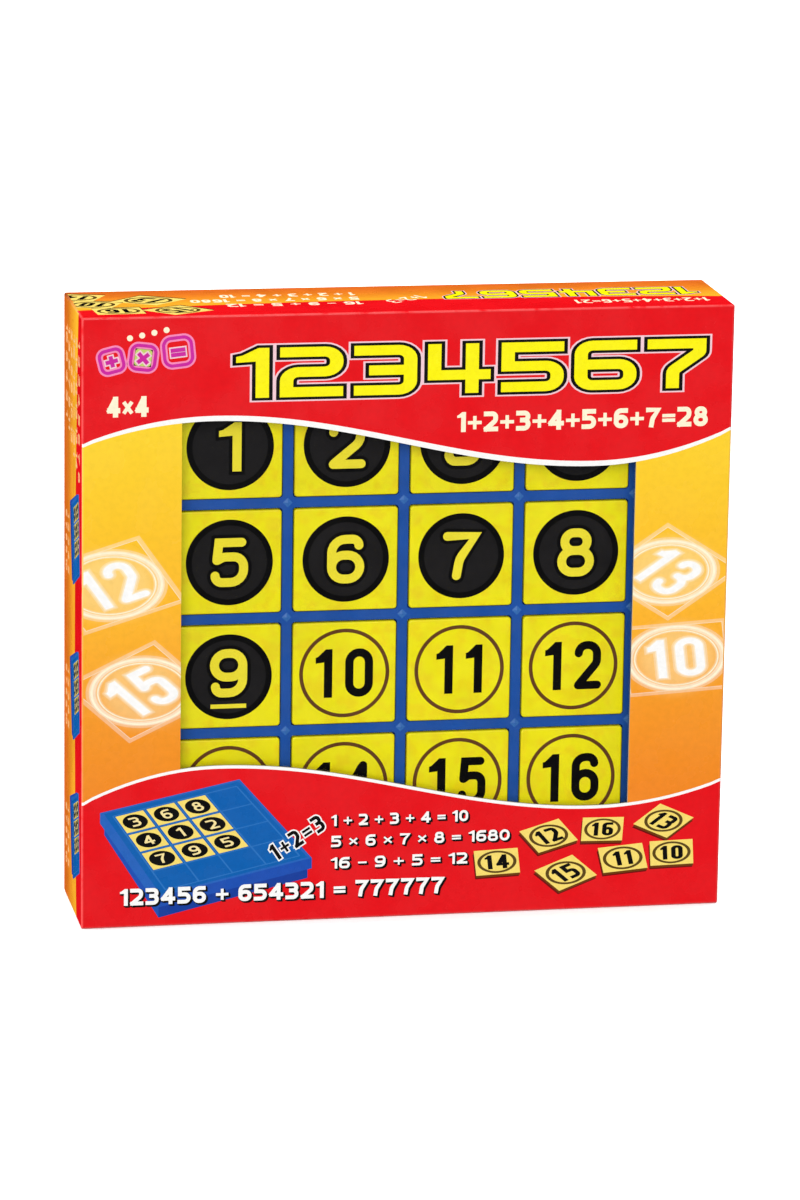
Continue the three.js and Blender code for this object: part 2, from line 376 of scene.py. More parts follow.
MATERIAL = {
    "red": printed("print_red", linear(232, 14, 24)),
    "stripe": printed("print_white", linear(253, 252, 250)),
    "front_field": printed("print_front_field", front_field),
    "side_field": printed("print_side_field", side_field),
    "back_field": printed("print_back_field", plain_field, wear_and_highlight_folds=False),
    "haze": printed("print_haze", whitened(0.26), wear_and_highlight_folds=False),
    "veil": printed("print_veil", whitened(0.6), wear_and_highlight_folds=False),
    "core": card("board_core", (205, 198, 186)),
    "lining": card("board_lining", (226, 220, 208), 0.025),
    "platform": card("collar_board", (240, 236, 226)),
    "paper": card("booklet_paper", (246, 244, 236), 0.02),
    "tile": moulded("tile_yellow", (255, 242, 6), 0.5, 0.36, second=(253, 228, 12)),
    # Black print for the figures of tiles 10 up, and painted shade round the discs and figures of tiles 1 to
    # 9.
    "tile_black": moulded("tile_black_print_and_painted_shade", (6, 5, 6), 0.4, 0.42, 0.12, 0.12),
    "tile_charcoal": moulded("tile_charcoal_print", (31, 29, 30), 0.4, 0.42, 0.12, 0.12),
    "tile_figure": moulded("tile_yellow_print", (255, 236, 48), 0.4, 0.38),
    "tile_ring": moulded("tile_ring_print", (104, 62, 22), 0.4, 0.4, 0.1),
    "tray": moulded("tray_blue", (27, 84, 172), 0.6, 0.34, 0.06),
    # Paler blue for the crossing studs: a painted highlight.
    "tray_pale": moulded("tray_blue_painted_highlight", (56, 112, 188), 0.6, 0.36, 0.06),
    "film": clear_film(),
}
INKS = {
    "white": (253, 252, 250),
    "cream": (255, 246, 214),
    "side_text": (255, 200, 138),
    "black": (14, 12, 12),
    "yellow": (254, 244, 6),
    "picture_yellow": (250, 222, 112),
    "picture_edge": (108, 60, 12),
    "picture_shadow": (112, 10, 12),
    "picture_ring": (92, 70, 26),
    "picture_figure": (250, 228, 160),
    "magenta": (205, 40, 160),
    "blush": (246, 206, 214),
    "blush_deep": (248, 140, 186),
    "lime": (196, 216, 110),
    "blue_top": (8, 96, 176),
    "blue_rim": (38, 100, 188),
    "blue_line": (44, 116, 192),
    "blue_side": (28, 80, 178),
    "blue_deep": (20, 62, 156),
}
for shade_name, shade_colour in INKS.items():
    MATERIAL[shade_name] = ink("ink_" + shade_name, linear(*shade_colour))


# ----- Flat drawing -----

class Plane:
    """A wall of the box as a drawing sheet: u to the right, v up and out away from the wall, in mm."""

    def __init__(self, origin, u, v):
        self.origin, self.u, self.v = Vector(origin), Vector(u), Vector(v)
        self.out = self.u.cross(self.v)

    def at(self, u, v, lift=0.0):
        return self.origin + (self.u * u + self.v * v + self.out * lift) * MM


def upright(x, y, z):
    """A plane that faces the front."""
    return Plane((x, y, z), (1, 0, 0), (0, 0, 1))


def cross_section(node):
    """A CAD node's front plane, and its width, depth and height in mm."""
    low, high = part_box(node)
    middle = (low + high) / 2
    return upright(middle.x, low.y, middle.z), *((high - low) / MM)


class Art:
    """Collects faces with a named material each, drawn on a plane, and makes one object of them. span is
    (left, right) on the plane: what is stamped is cut off there."""

    def __init__(self, plane):
        self.points, self.faces, self.names = [], [], []
        self.plane = plane
        self.span = None

    def add(self, points, faces, name):
        start = len(self.points)
        self.points.extend(points)
        self.faces.extend([[start + i for i in face] for face in faces])
        self.names.extend([name] * len(faces))

    def plate(self, points, triangles, low, high, name):
        """Adds a thin closed solid over the flat triangles, from low to high above the plane."""
        used = sorted(set(i for t in triangles for i in t))
        index = {old: new for new, old in enumerate(used)}
        count = len(used)
        solid = [self.plane.at(*points[i], lift) for lift in (high, low) for i in used]
        faces, border = [], set()
        for triangle in triangles:
            a, b, c = (index[i] for i in triangle)
            faces += [(a, b, c), (c + count, b + count, a + count)]
            for edge in ((a, b), (b, c), (c, a)):
                if edge[::-1] in border:
                    border.discard(edge[::-1])
                else:
                    border.add(edge)
        faces += [(b, a, a + count, b + count) for a, b in sorted(border)]
        self.add(solid, faces, name)

    def stamp(self, polygons, level, name, warp=None):
        """Prints flat polygons as ink of the given level."""
        if warp:
            polygons = [[warp(*p) for p in polygon] for polygon in polygons]
        cuts = [((edge, -HALF_H), (edge, HALF_H)) for edge in self.span or ()]
        points, triangles = merge(polygons, cuts)
        if self.span:
            left, right = self.span
            triangles = [t for t in triangles if left < sum(points[i][0] for i in t) / 3 < right]
        if triangles:
            self.plate(points, triangles, (level - 1) * LAYER + 0.002, level * LAYER, name)

    def write(self, level, name, warp, *text, **size):
        self.stamp(writing(*text, **size), level, name, warp)

    def layered(self, place, layers, level, *text, **size):
        """Writes text once for each (ink, grow, shift) layer, each over the last and shifted down to the
        right. place is (x, y) and, where they are needed, the turn and the squash."""
        x, y, *rest = place
        for i, (name, grow, shift) in enumerate(layers):
            self.write(level + i, name, moved(x + shift, y - shift, *rest), *text, grow=grow, **size)

    def build(self, title):
        used = sorted(set(self.names))
        data = bpy.data.meshes.new(title)
        data.from_pydata([tuple(p) for p in self.points], [], self.faces)
        for name in used:
            data.materials.append(MATERIAL[name])
        data.polygons.foreach_set("material_index", [used.index(name) for name in self.names])
        return link(title, data)

    def settle(self, title, body, slot, *replaced):
        return settle(self.build(title), body, slot, *replaced)


def settle(piece, body, slot, *replaced):
    """Says which body a finished piece moves with, and hides the CAD nodes it stands for. slot is not used.
    """
    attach(piece, body)
    if replaced:
        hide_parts(*replaced)
    return piece


def edges_of(polygon):
    return zip(polygon, polygon[1:] + polygon[:1])


def area(polygon):
    return sum(a[0] * b[1] - b[0] * a[1] for a, b in edges_of(polygon)) / 2


def holds(polygon, x, y):
    """Whether the point is inside the polygon."""
    inside = False
    for a, b in edges_of(polygon):
        if (a[1] > y) != (b[1] > y) and x < a[0] + (b[0] - a[0]) * (y - a[1]) / (b[1] - a[1]):
            inside = not inside
    return inside


def middle_of(points, triangle):
    return sum((points[i] for i in triangle), Vector((0, 0))) / 3


def merge(polygons, cuts=()):
    """The union of flat polygons as points and triangles. Each cut is a line that triangles won't cross."""
    polygons = [list(polygon) for polygon in polygons if abs(area(list(polygon))) >= 1e-7]
    points, faces = [], []
    for polygon in polygons:
        faces.append(list(range(len(points), len(points) + len(polygon))))
        points.extend(Vector(p) for p in (polygon if area(polygon) > 0 else polygon[::-1]))
    edges = [(len(points) + 2 * i, len(points) + 2 * i + 1) for i in range(len(cuts))]
    points.extend(Vector(end) for cut in cuts for end in cut)
    found, _, triangles, _, _, owners = delaunay_2d_cdt(points, edges, faces, 0, 1e-5)
    kept = []
    for triangle, owning in zip(triangles, owners):
        if any(holds(polygons[owner], *middle_of(found, triangle)) for owner in owning):
            kept.append(triangle)
    return found, kept


def disc(cx, cy, radius, steps=40):
    turn = 2 * math.pi / steps
    return [(cx + radius * math.cos(i * turn), cy + radius * math.sin(i * turn)) for i in range(steps)]


def block(left, bottom, right, top):
    return [(left, bottom), (right, bottom), (right, top), (left, top)]


def square(reach):
    return block(-reach, -reach, reach, reach)


def fillet(corners, closed):
    """A path through (x, y, radius) corners, with each corner of some radius rounded by an arc."""
    path, count = [], len(corners)
    for i, (x, y, radius) in enumerate(corners):
        here = Vector((x, y))
        if radius <= 0 or (not closed and i in (0, count - 1)):
            path.append(here)
            continue
        before, after = (Vector(corners[(i + step) % count][:2]) - here for step in (-1, 1))
        opening = before.angle(after)
        room = min(before.length * (1 if not closed and i == 1 else 0.5),
                   after.length * (1 if not closed and i == count - 2 else 0.5))
        radius = min(radius, room * math.tan(opening / 2))
        reach = radius / math.tan(opening / 2)
        inward = (before.normalized() + after.normalized()).normalized()
        middle = here + inward * radius / math.sin(opening / 2)
        start = here + before.normalized() * reach - middle
        sweep = start.angle_signed(here + after.normalized() * reach - middle)
        steps = max(2, math.ceil(abs(sweep) / math.radians(17)))
        for k in range(steps + 1):
            path.append(middle + Matrix.Rotation(-sweep * k / steps, 2) @ start)
    return path


MITRE_LIMIT = 1.6


def ribbon(path, width, closed=False, extend=0.0):
    """A band of constant width along a path, as triangles, with mitred corners. extend lengthens its ends."""
    clean = [Vector(path[0])]
    for point in path[1:]:
        if (Vector(point) - clean[-1]).length > 1e-4:
            clean.append(Vector(point))
    if closed and (clean[0] - clean[-1]).length < 1e-4:
        clean.pop()
    if not closed and extend:
        clean[0] = clean[0] + (clean[0] - clean[1]).normalized() * extend
        clean[-1] = clean[-1] + (clean[-1] - clean[-2]).normalized() * extend
    count, sides = len(clean), []
    for i, here in enumerate(clean):
        steps = []
        if closed or i > 0:
            steps.append((here - clean[i - 1]).normalized())
        if closed or i < count - 1:
            steps.append((clean[(i + 1) % count] - here).normalized())
        normals = [Vector((-s.y, s.x)) for s in steps]
        total = normals[0] + normals[-1]
        mitre = total.normalized() if total.length > 1e-6 else normals[0]
        reach = mitre * min(MITRE_LIMIT, 1 / max(0.1, mitre.dot(normals[0]))) * width / 2
        sides.append((here + reach, here - reach))
    bands = []
    for i in range(count if closed else count - 1):
        (a, b), (d, c) = sides[i], sides[(i + 1) % count]
        bands += [[tuple(a), tuple(b), tuple(c)], [tuple(a), tuple(c), tuple(d)]]
    return bands


def hoop(radius, width, steps=40):
    return ribbon(disc(0, 0, radius, steps), width, True)


ROUND = 0.5           # radius of a round corner, as a share of the character's width
SIGN = 0.72           # how thick the strokes of a sign are next to a figure's


def loop(left, bottom, right, top):
    """A closed stroke with round corners."""
    return tuple((x, y, ROUND) for x, y in block(left, bottom, right, top))


# Each character: its width, and its strokes as corners in a square of 1 by 1. A corner's third number is its
# radius as a share of the character's width. A list is an open stroke, and a tuple a closed one.
FIGURES = {
    "0": (1.0, [loop(0, 0, 1, 1)]),
    "1": (0.6, []),
    "2": (1.0, [[(0, 1), (0.97, 1, ROUND), (0.97, 0.56, 0.45), (0.04, 0.02)], [(0.02, 0), (1, 0)]]),
    "3": (1.0, [[(0, 1), (0.97, 1, 0.4), (0.97, 0.54, 0.4), (0.4, 0.54)],
                [(0.4, 0.54), (1, 0.54, ROUND), (1, 0, ROUND), (0, 0)]]),
    "4": (1.08, [[(0.74, 0), (0.74, 1)], [(0.66, 0.95), (0.02, 0.30)], [(0.02, 0.27), (1, 0.27)]]),
    "5": (1.0, [[(0.97, 1), (0.05, 1), (0.05, 0.57), (1, 0.57, ROUND), (1, 0, ROUND), (0, 0)]]),
    "6": (1.0, [[(0.95, 1), (0, 1, ROUND), (0, 0.3)], loop(0, 0, 1, 0.57)]),
    "7": (1.0, [[(0, 1), (1, 1), (0.44, 0.42, 0.7), (0.34, 0)]]),
    "8": (1.0, [loop(0, 0, 1, 0.55), loop(0.1, 0.55, 0.9, 1)]),
    "9": (1.0, [[(0.05, 0), (1, 0, ROUND), (1, 0.7)], loop(0, 0.43, 1, 1)]),
    "+": (0.95, [[(0, 0.45), (1, 0.45)], [(0.5, 0.15), (0.5, 0.75)]]),
    "-": (0.8, [[(0, 0.45), (1, 0.45)]]),
    "x": (0.9, [[(0.08, 0.2), (0.92, 0.7)], [(0.08, 0.7), (0.92, 0.2)]]),
    "=": (0.9, [[(0, 0.31), (1, 0.31)], [(0, 0.59), (1, 0.59)]]),
    " ": (0.42, []),
}
# The same figures with curled ends, for the numbered tiles.
CURLED = FIGURES | {
    "2": (1.0, [[(0.02, 0.80), (0.02, 1, ROUND), (0.97, 1, ROUND), (0.97, 0.56, 0.45), (0.04, 0.02)],
                [(0.02, 0), (1, 0)]]),
    "3": (1.0, [[(0.03, 0.84), (0.03, 1, ROUND), (0.95, 1, ROUND), (0.95, 0.54, ROUND), (0.42, 0.54)],
                [(0.42, 0.54), (1, 0.54, ROUND), (1, 0, ROUND), (0, 0, ROUND), (0, 0.17)]]),
    "5": (1.0, [[(0.93, 1), (0.13, 1), (0.06, 0.56)],
                [(0.08, 0.56), (0.3, 0.64, 0.3), (1, 0.64, ROUND), (1, 0, ROUND), (0, 0, ROUND), (0, 0.17)]]),
    "6": (1.0, [[(0.96, 0.84), (0.96, 1, ROUND), (0, 1, ROUND), (0, 0.3)], loop(0, 0, 1, 0.6)]),
    "9": (1.0, [[(0.04, 0.16), (0.04, 0, ROUND), (1, 0, ROUND), (1, 0.7)], loop(0, 0.4, 1, 1)]),
}
BEND = 0.24
# The wide block figures of the title, in the same form.
BLOCKS = {
    "1": (0.52, []),
    "2": (1.0, [[(0, 1), (1, 1, BEND), (1, 0.5, BEND), (0, 0.5, BEND), (0, 0), (1, 0)]]),
    "3": (1.0, [[(0, 1), (1, 1, BEND), (1, 0, BEND), (0, 0)], [(0.3, 0.5), (0.95, 0.5)]]),
    "4": (1.0, [[(0, 1), (0, 0.34), (1, 0.34)], [(0.76, 1), (0.76, 0)]]),
    "5": (1.0, [[(1, 1), (0, 1), (0, 0.52), (1, 0.52, BEND), (1, 0, BEND), (0, 0)]]),
    "6": (1.0, [[(1, 1), (0, 1, BEND), (0, 0, BEND), (1, 0, BEND), (1, 0.52, BEND), (0, 0.52)]]),
    "7": (0.95, [[(0, 1), (1, 1), (1, 0.78, 0.1), (0.42, 0.32, 0.2), (0.42, 0)]]),
}


def flagged_stem(left, right, bottom, top, stroke):
    """The figure 1 as one outline: an upright stem with a short flag at its upper left."""
    inner, height = right - stroke, top - bottom
    return [(inner, bottom), (right, bottom), (right, top), (inner + 0.2 * stroke, top),
            (left + 0.3 * (inner - left), top - 0.15 * height), (left, top - 0.17 * height),
            (left, top - 0.29 * height), (inner, top - 0.27 * height)]


def writing(text, height, stroke, width=None, length=None, gap=0.17, grow=0.0, shapes=FIGURES, soft=False):
    """Flat polygons of a line of characters centred on (0, 0). A figure is width wide, or the line length
    long, and gap is a share of the width. grow thickens them all round, and soft rounds their ends."""
    units = sum(shapes[c][0] for c in text) + gap * (len(text) - 1)
    width = width or length / units
    left = -units * width / 2
    polygons = []
    for character in text:
        share, strokes = shapes[character]
        thick = stroke * (SIGN if character in "+-x=" else 1)
        across, up = share * width - thick, height - thick
        for corners in strokes:
            closed = isinstance(corners, tuple)
            placed = [(left + thick / 2 + x * across, -up / 2 + y * up, sum(radius) * across)
                      for x, y, *radius in corners]
            path = fillet(placed, closed)
            polygons += ribbon(path, thick + 2 * grow, closed, 0.0 if soft else thick / 2 + grow)
            if soft and not closed:
                polygons += [disc(*end, thick / 2 + grow, 20) for end in (path[0], path[-1])]
        if character == "1":
            figure = flagged_stem(left, left + share * width, -height / 2, height / 2, stroke)
            polygons.append(figure)
            if grow:
                polygons += ribbon(figure, 2 * grow, True)
        left += (share + gap) * width
    return polygons


def moved(x, y, turn=0.0, squash=1.0):
    """A warp: turn, then squash vertically, then move to (x, y)."""
    c, s = math.cos(math.radians(turn)), math.sin(math.radians(turn))
    return lambda a, b: (x + (a * c - b * s), y + (a * s + b * c) * squash)


def on_quad(corners):
    """A warp from the unit square onto a four-cornered shape: (0, 0), (1, 0), (1, 1) and (0, 1) in turn."""
    a, b, c, d = (Vector(p) for p in corners)
    return lambda s, t: tuple(a * (1 - s) * (1 - t) + b * s * (1 - t) + c * s * t + d * (1 - s) * t)


# ----- The lid: folded board with the print's main fields cut into its faces -----

WINDOW_LEFT, WINDOW_RIGHT = -83.5, 84.3
TOP_WAVE = dict(crest=(-72, 75.2), trough=(68, 55.0), left_bend=0.0037, right_bend=0.0045)
BOTTOM_WAVE = dict(crest=(-70, -53.5), trough=(72, -74.0), left_bend=0.0049, right_bend=0.0038)
TOP_STRIPE = 2.05
TOP_STRIPE_THINNING = 0.85
BOTTOM_STRIPE = 1.15
WAVE_STEP = 4.0

FACE_W = HALF_W - PRINT_ROOM
FACE_H = HALF_H - PRINT_ROOM
FACE_FRONT = LID_LOW.y + PRINT_ROOM * MM

FRONT = upright(CENTRE.x, FACE_FRONT, CENTRE.z)
TOP = Plane((CENTRE.x, CENTRE.y, CENTRE.z + FACE_H * MM), (-1, 0, 0), (0, -1, 0))
BOTTOM = Plane((CENTRE.x, CENTRE.y, CENTRE.z - FACE_H * MM), (1, 0, 0), (0, -1, 0))
LEFT = Plane((CENTRE.x - FACE_W * MM, CENTRE.y, CENTRE.z), (0, 0, -1), (0, -1, 0))
RIGHT = Plane((CENTRE.x + FACE_W * MM, CENTRE.y, CENTRE.z), (0, 0, 1), (0, -1, 0))
V_FRONT = HALF_D - PRINT_ROOM
V_BACK = -HALF_D
CORNERS = square(1)


def wave_height(wave, x):
    """Height of a banner's wavy edge at x: a cosine from crest to trough, and a parabola past each."""
    (crest_x, crest_y), (trough_x, trough_y) = wave["crest"], wave["trough"]
    if x < crest_x:
        return crest_y - wave["left_bend"] * (crest_x - x) ** 2
    if x > trough_x:
        return trough_y + wave["right_bend"] * (x - trough_x) ** 2
    swing = math.cos(math.pi * (x - crest_x) / (trough_x - crest_x))
    return (crest_y + trough_y) / 2 + (crest_y - trough_y) / 2 * swing


def wave_line(wave, xs):
    return [(x, wave_height(wave, x)) for x in xs]


def stripe_top(x):
    """The upper edge of the white stripe along the top banner. The stripe thins out towards its ends."""
    return wave_height(TOP_WAVE, x) + TOP_STRIPE - TOP_STRIPE_THINNING * (x / HALF_W) ** 4


def stripe_bottom(x):
    return wave_height(BOTTOM_WAVE, x) - BOTTOM_STRIPE


def long_strip(u):
    """Where the red strip ends on the top and bottom walls."""
    return V_FRONT - 23 + 0.0005 * (u + 12) ** 2


def side_strip(u):
    """Where the red strip ends on the left and right walls."""
    return V_FRONT - 19 + 0.00055 * (u - 20) ** 2


def stops(low, high, step=WAVE_STEP):
    count = max(1, round((high - low) / step))
    return [low + (high - low) * i / count for i in range(count + 1)]


def divide(loop_points, curves, chooser):
    """Cuts a flat outline along curves. Returns points and {region name: triangles}, leaving out None."""
    points, edges = [], []
    for line in [loop_points + loop_points[:1]] + curves:
        start = len(points)
        points.extend(Vector(p) for p in line)
        edges.extend((start + i, start + i + 1) for i in range(len(line) - 1))
    found, _, triangles, _, _, _ = delaunay_2d_cdt(points, edges, [], 0, 1e-5)
    regions = {}
    for triangle in triangles:
        name = chooser(*middle_of(found, triangle))
        if name:
            regions.setdefault(name, []).append(triangle)
    return found, regions


def in_window(x, z):
    return WINDOW_LEFT < x < WINDOW_RIGHT and wave_height(BOTTOM_WAVE, x) < z < wave_height(TOP_WAVE, x)


def front_region(x, z):
    if z > stripe_top(x) or z < stripe_bottom(x):
        return "red"
    if z > wave_height(TOP_WAVE, x) or z < wave_height(BOTTOM_WAVE, x):
        return "stripe"
    return None if in_window(x, z) else "front_field"


def front_curves():
    xs = stops(-FACE_W, WINDOW_LEFT)[:-1] + stops(WINDOW_LEFT, WINDOW_RIGHT) + stops(WINDOW_RIGHT, FACE_W)[1:]
    curves = []
    for wave, stripe in ((TOP_WAVE, stripe_top), (BOTTOM_WAVE, stripe_bottom)):
        curves += [[(x, stripe(x)) for x in xs], wave_line(wave, xs)]
    for x in (WINDOW_LEFT, WINDOW_RIGHT):
        curves.append(wave_line(BOTTOM_WAVE, [x]) + wave_line(TOP_WAVE, [x]))
    return curves


def add_regions(cage, plane, outline, curves, chooser):
    points, regions = divide(outline, curves, chooser)
    for name, triangles in regions.items():
        cage.add([plane.at(*p) for p in points], triangles, name)


def add_wall(cage, plane, half, strip, neighbours, front_stops):
    """A side wall in red and field colour, with extra points where its neighbours' colours change."""
    loop_points = [(-half, V_BACK), (half, V_BACK)]
    loop_points += [(half, v) for v in sorted({strip(half), neighbours[1]})]
    loop_points += [(u, V_FRONT) for u in [half, *sorted(front_stops, reverse=True), -half]]
    loop_points += [(-half, v) for v in sorted({strip(-half), neighbours[0]}, reverse=True)]
    curve = [(u, strip(u)) for u in stops(-half, half, 6)]
    add_regions(cage, plane, loop_points, [curve], lambda u, v: "red" if v > strip(u) else "side_field")


def lid_cage():
    """The lid's whole surface with sharp edges: outside, inside, window cut and rim."""
    cage = Art(FRONT)
    curves = front_curves()
    ends_left, ends_right = (sorted(curve[end][1] for curve in curves[:4]) for end in (0, -1))
    outline = [(-FACE_W, -FACE_H), (FACE_W, -FACE_H)] + [(FACE_W, z) for z in ends_right]
    outline += [(FACE_W, FACE_H), (-FACE_W, FACE_H)] + [(-FACE_W, z) for z in ends_left[::-1]]
    add_regions(cage, FRONT, outline, curves, front_region)
    # On the top wall u runs to the left, so its low end meets the right wall, and so on round the box.
    side_ends = (side_strip(FACE_H), side_strip(-FACE_H))
    long_ends = (long_strip(FACE_W), long_strip(-FACE_W))
    add_wall(cage, TOP, FACE_W, long_strip, side_ends, [])
    add_wall(cage, BOTTOM, FACE_W, long_strip, side_ends, [])
    add_wall(cage, LEFT, FACE_H, side_strip, long_ends, [-z for z in ends_left])
    add_wall(cage, RIGHT, FACE_H, side_strip, long_ends, ends_right)

    inner_w, inner_h = HALF_W - BOARD, HALF_H - BOARD
    across = stops(WINDOW_LEFT, WINDOW_RIGHT)
    hole = wave_line(BOTTOM_WAVE, across) + wave_line(TOP_WAVE, across)[::-1]
    depth = PRINT_ROOM - BOARD
    points, regions = divide(block(-inner_w, -inner_h, inner_w, inner_h), [hole + hole[:1]],
                             lambda x, z: None if in_window(x, z) else "lining")
    cage.add([FRONT.at(*p, depth) for p in points], [t[::-1] for t in regions["lining"]], "lining")
    count = len(hole)
    rims = [FRONT.at(*p, lift) for lift in (0.0, depth) for p in hole]
    cage.add(rims, [(i, i + count, (i + 1) % count + count, (i + 1) % count) for i in range(count)], "core")

    back = CENTRE.y + HALF_D * MM
    deep = [FRONT.at(sx * inner_w, sz * inner_h, depth) for sx, sz in CORNERS]
    rim_in = [Vector((p.x, back, p.z)) for p in deep]
    rim_out = [Vector((CENTRE.x + sx * FACE_W * MM, back, CENTRE.z + sz * FACE_H * MM)) for sx, sz in CORNERS]
    sides = [(i, (i + 1) % 4, (i + 1) % 4 + 4, i + 4) for i in range(4)]
    cage.add(deep + rim_in, sides, "lining")
    cage.add(rim_in + rim_out, sides, "core")
    return cage


def on_outer_fold(edge, low, high):
    """Whether an edge lies along one of the lid's eight outside folds."""
    limits = ((0, low.x), (0, high.x), (1, low.y), (2, low.z), (2, high.z))
    return sum(all(abs(v.co[axis] - limit) < 1e-6 for v in edge.verts) for axis, limit in limits) == 2


def round_edges(work, edges, width, segments):
    bmesh.ops.bevel(work, geom=edges, offset=width * MM, offset_type="OFFSET", segments=segments, profile=0.5,
                    affect="EDGES", clamp_overlap=True, material=-1)


def shade(piece, work):
    """Writes an edited mesh back to its piece, shaded smooth with its large flat faces kept flat."""
    work.to_mesh(piece.data)
    work.free()
    piece.data.polygons.foreach_set("use_smooth", [True] * len(piece.data.polygons))
    piece.modifiers.new("weighted", "WEIGHTED_NORMAL").keep_sharp = False


def make_lid():
    piece = lid_cage().build("gift_lid")
    work = bmesh.new()
    work.from_mesh(piece.data)
    bmesh.ops.remove_doubles(work, verts=work.verts, dist=2e-6)
    bmesh.ops.recalc_face_normals(work, faces=work.faces)
    bmesh.ops.dissolve_limit(work, angle_limit=math.radians(0.2), use_dissolve_boundaries=False,
                             verts=work.verts, edges=work.edges, delimit={"MATERIAL"})
    low = Vector((CENTRE.x - FACE_W * MM, FACE_FRONT, CENTRE.z - FACE_H * MM))
    high = Vector((CENTRE.x + FACE_W * MM, 0, CENTRE.z + FACE_H * MM))
    round_edges(work, [e for e in work.edges if on_outer_fold(e, low, high)], FOLD, 4)
    shade(piece, work)
    settle(piece, "lid", "printed_card", "lid_shell")


# ----- Printed art -----

# Layers of text: (ink, how much wider it grows, how far it shifts down to the right).
DROP_SHADOW = (("black", 0.12, 0.65), ("black", 0.25, 0.28), ("white", 0.0, 0.0))
TITLE = "1234567"
TITLE_FLATTEN = 0.74
TITLE_LENGTH = 173.5
TITLE_HEIGHT = 18.3
TITLE_STROKE = 4.9


def title(art, x, y, scale=1.0, level=1, stretch=1.0):
    """The headline of wide yellow figures with a black outline inside a pale one."""
    layers = (("blush", 2.1 * scale, 0), ("black", 1.35 * scale, 0), ("yellow", 0.0, 0))
    height, stroke = TITLE_HEIGHT / TITLE_FLATTEN * scale, TITLE_STROKE * scale
    art.layered((x, y, 0, TITLE_FLATTEN * stretch), layers, level, TITLE, height, stroke,
                length=TITLE_LENGTH * scale, shapes=BLOCKS)


def tile_picture(art, label, x, y, turn, size=16.0, squash=0.58):
    """A printed picture of a yellow tile lying on a table, turned and seen at a slant."""
    half = size / 2
    warp = moved(x, y, turn, squash)
    art.stamp([square(half)], 1, "picture_shadow", moved(x - 0.4, y - 1.35, turn, squash))
    art.stamp([square(half)], 2, "picture_edge", moved(x - 0.1, y - 0.85, turn, squash))
    art.stamp([square(half)], 3, "picture_yellow", warp)
    art.stamp(hoop(half * 0.82, size * 0.075), 4, "picture_ring", warp)
    art.write(5, "black", warp, label, size * 0.56, size * 0.105, width=size * 0.27, gap=0.34)


PICTURE_ROWS = ("368", "412", "795")
PICTURE_EDGE = 0.065
PICTURE_PITCH = 0.22


def tray_picture_sides(art, corners, lip, drop):
    """The two visible sides of the picture's deck, and below them those of its narrower lower box."""
    left, _, right, front = (Vector(p) for p in corners)
    inset = (right - left) * 0.02
    for a, b, high, low, level, name in (
            (left + inset, front, lip * 0.5, drop, 1, "blue_side"),
            (front, right - inset, lip * 0.5, drop, 1, "blue_deep"),
            (left, front, 0, lip, 2, "blue_rim"),
            (front, right, 0, lip, 2, "blue_side")):
        outline = ((a, high), (b, high), (b, low), (a, low))
        art.stamp([[(p.x, p.y - down) for p, down in outline]], level, name)


def tray_picture(art, corners, lip, drop, spot=0.082):
    """A printed picture of the blue puzzle with nine tiles in its first three rows and columns. spot is the
    radius of a tile's black disc as a share of the deck."""
    tray_picture_sides(art, corners, lip, drop)
    top = on_quad(corners)
    edge, pitch = PICTURE_EDGE, PICTURE_PITCH
    art.stamp([block(0, 0, 1, 1)], 2, "blue_rim", top)
    art.stamp([block(0.02, 0.02, 0.98, 0.98)], 3, "blue_top", top)
    lines = []
    for at in (edge + i * pitch for i in range(GRID + 1)):
        lines.append(block(at - 0.005, edge, at + 0.005, edge + GRID * pitch))
        lines.append(block(edge, at - 0.005, edge + GRID * pitch, at + 0.005))
    art.stamp(lines, 4, "blue_line", top)
    tiles, discs, figures = [], [], []
    for row, labels in enumerate(PICTURE_ROWS):
        for column, label in enumerate(labels):
            cx, cy = edge + (column + 0.5) * pitch, edge + (row + 0.5) * pitch
            tiles.append([(cx + x, cy + y) for x, y in square(0.098)])
            discs.append(disc(cx, cy, spot, 24))
            for part in writing(label, 0.10, 0.017, width=0.066):
                figures.append([(cx + x, cy - y) for x, y in part])
    art.stamp(tiles, 5, "picture_yellow", top)
    art.stamp(discs, 6, "black", top)
    art.stamp(figures, 7, "picture_figure", top)


GHOST_LEFT = (-FACE_W + FOLD, WINDOW_LEFT)
GHOST_RIGHT = (WINDOW_RIGHT, FACE_W - FOLD)
GHOST_STEPS = 56
GHOSTS = (
    # label, centre x and z, turn in degrees, size, and the part of the panel it is printed on
    ("12", -109.0, 15.4, 25, 41, GHOST_LEFT),
    ("15", -97.7, -24.6, 36, 41, GHOST_LEFT),
    ("13", 97.3, 14.4, -44, 39, GHOST_RIGHT),
    ("10", 101.4, -18.4, 5, 40, GHOST_RIGHT),
)


def ghost_tile(art, label, x, z, turn, size, span):
    """A pale glowing picture of a tile: faint square outlines, a double ring and white figures, each inside a
    wider and fainter copy of itself."""
    art.span = span
    warp = moved(x, z, turn, 0.66)
    half = size / 2
    text = dict(text=label, height=size * 0.55, stroke=size * 0.08, width=size * 0.27, gap=0.36,
                shapes=CURLED, soft=True)
    faint = ribbon(square(half * 0.97), 2.0, True) + hoop(half * 0.88, 5.2, GHOST_STEPS)
    bright = ribbon(square(half * 0.93), 0.3, True) + hoop(half * 0.89, 2.4, GHOST_STEPS)
    art.stamp(faint + writing(grow=1.3, **text), 1, "haze", warp)
    art.stamp(bright + writing(grow=0.55, **text), 2, "veil", warp)
    rings = hoop(half * 0.90, 0.9, GHOST_STEPS) + hoop(half * 0.79, 0.5, GHOST_STEPS)
    art.stamp(rings, 3, "cream", warp)
    art.write(4, "white", warp, **text)


